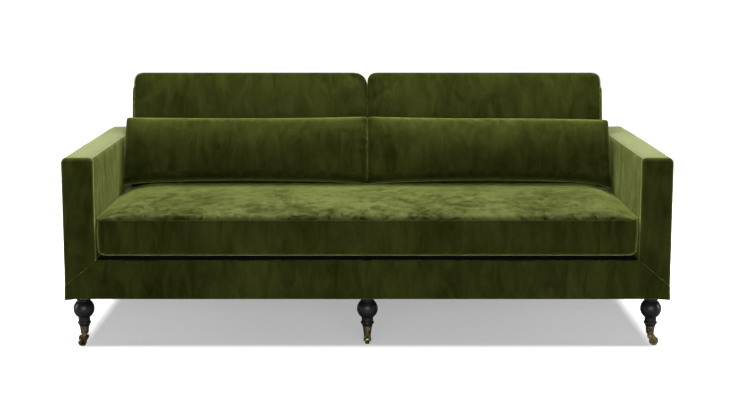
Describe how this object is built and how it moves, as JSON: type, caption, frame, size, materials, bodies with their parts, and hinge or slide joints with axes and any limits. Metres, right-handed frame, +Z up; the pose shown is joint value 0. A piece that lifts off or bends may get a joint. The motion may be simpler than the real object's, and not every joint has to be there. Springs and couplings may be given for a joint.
{
  "type": "track arm sofa",
  "caption": "Long velvet sofa with square track arms, one seat cushion, loose back cushions and lumbar pillows, on turned front legs with brass casters and raked rear legs.",
  "frame": {"origin": "on the floor, under the middle of the footprint", "axes": "+Z up, +X to the right as seen from the front, the front faces -Y"},
  "size_m": [2.06, 0.87, 0.887],
  "materials": {
    "velvet": "velvet pile",
    "padding": "foam and felt",
    "lining": "woven",
    "timber": "sawn",
    "lacquer": "satin black lacquer",
    "brass": "antique",
    "steel": "zinc plated",
    "fibre": "vulcanised fibre"
  },
  "bodies": {
    "sofa": {"arm_bolts": "steel", "arm_inner_boards": "timber", "arm_lower_rails": "timber", "arm_outer_boards": "timber", "arm_posts": "timber", "arm_top_rails": "timber", "back_cover": "velvet", "back_pad": "padding", "back_top_rail": "timber", "back_webbing": "lining", "centre_caster_ferrule": "brass", "centre_stretcher": "timber", "centre_upright": "timber", "deck_cover": "lining", "deck_pad": "padding", "dust_cover": "lining", "ferrule_screws": "brass", "front_border": "velvet", "front_centre_leg": "lacquer", "front_left_leg": "lacquer", "front_rail": "timber", "front_right_leg": "lacquer", "left_arm_cover": "velvet", "left_arm_front": "velvet", "left_arm_pad": "padding", "left_caster_ferrule": "brass", "leg_blocks": "timber", "leg_bolts": "steel", "leg_inserts": "steel", "outside_back": "velvet", "rear_centre_leg": "lacquer", "rear_left_leg": "lacquer", "rear_rail": "timber", "rear_right_leg": "lacquer", "right_arm_cover": "velvet", "right_arm_front": "velvet", "right_arm_pad": "padding", "right_caster_ferrule": "brass", "seat_springs": "steel", "side_rails": "timber", "side_uprights": "timber", "spring_clips": "steel", "swivel_washers": "fibre"},
    "left_caster": {"left_caster_horn": "brass", "left_caster_axle": "brass"},
    "left_wheel": {"left_caster_wheel": "brass"},
    "centre_caster": {"centre_caster_horn": "brass", "centre_caster_axle": "brass"},
    "centre_wheel": {"centre_caster_wheel": "brass"},
    "right_caster": {"right_caster_horn": "brass", "right_caster_axle": "brass"},
    "right_wheel": {"right_caster_wheel": "brass"},
    "seat_cushion": {"seat_cushion": "velvet"},
    "left_back_cushion": {"left_back_cushion": "velvet"},
    "right_back_cushion": {"right_back_cushion": "velvet"},
    "left_lumbar_pillow": {"left_lumbar_pillow": "velvet"},
    "right_lumbar_pillow": {"right_lumbar_pillow": "velvet"}
  },
  "joints": [
    {"name": "left_swivel", "type": "hinge", "parent": "sofa", "child": "left_caster", "pos_m": [-0.976, -0.377, 0.04], "axis": [0, 0, 1], "continuous": true},
    {"name": "left_roll", "type": "hinge", "parent": "left_caster", "child": "left_wheel", "pos_m": [-0.9817, -0.38868, 0.016], "axis": [0.8988, -0.4384, 0], "continuous": true},
    {"name": "centre_swivel", "type": "hinge", "parent": "sofa", "child": "centre_caster", "pos_m": [0, -0.377, 0.04], "axis": [0, 0, 1], "continuous": true},
    {"name": "centre_roll", "type": "hinge", "parent": "centre_caster", "child": "centre_wheel", "pos_m": [0, -0.364, 0.016], "axis": [-1, 0, 0], "continuous": true},
    {"name": "right_swivel", "type": "hinge", "parent": "sofa", "child": "right_caster", "pos_m": [0.976, -0.377, 0.04], "axis": [0, 0, 1], "continuous": true},
    {"name": "right_roll", "type": "hinge", "parent": "right_caster", "child": "right_wheel", "pos_m": [0.9888, -0.37926, 0.016], "axis": [0.1736, 0.9848, 0], "continuous": true},
    {"name": "seat_cushion_out", "type": "slide", "parent": "sofa", "child": "seat_cushion", "axis": [0, -1, 0], "range_m": [0, 0.7]},
    {"name": "left_back_cushion_lift", "type": "slide", "parent": "sofa", "child": "left_back_cushion", "axis": [0, 0.1736, 0.9848], "range_m": [0, 0.45]},
    {"name": "left_pillow_lift", "type": "slide", "parent": "sofa", "child": "left_lumbar_pillow", "axis": [0, 0.1736, 0.9848], "range_m": [0, 0.3]},
    {"name": "right_back_cushion_lift", "type": "slide", "parent": "sofa", "child": "right_back_cushion", "axis": [0, 0.1736, 0.9848], "range_m": [0, 0.45]},
    {"name": "right_pillow_lift", "type": "slide", "parent": "sofa", "child": "right_lumbar_pillow", "axis": [0, 0.1736, 0.9848], "range_m": [0, 0.3]}
  ]
}
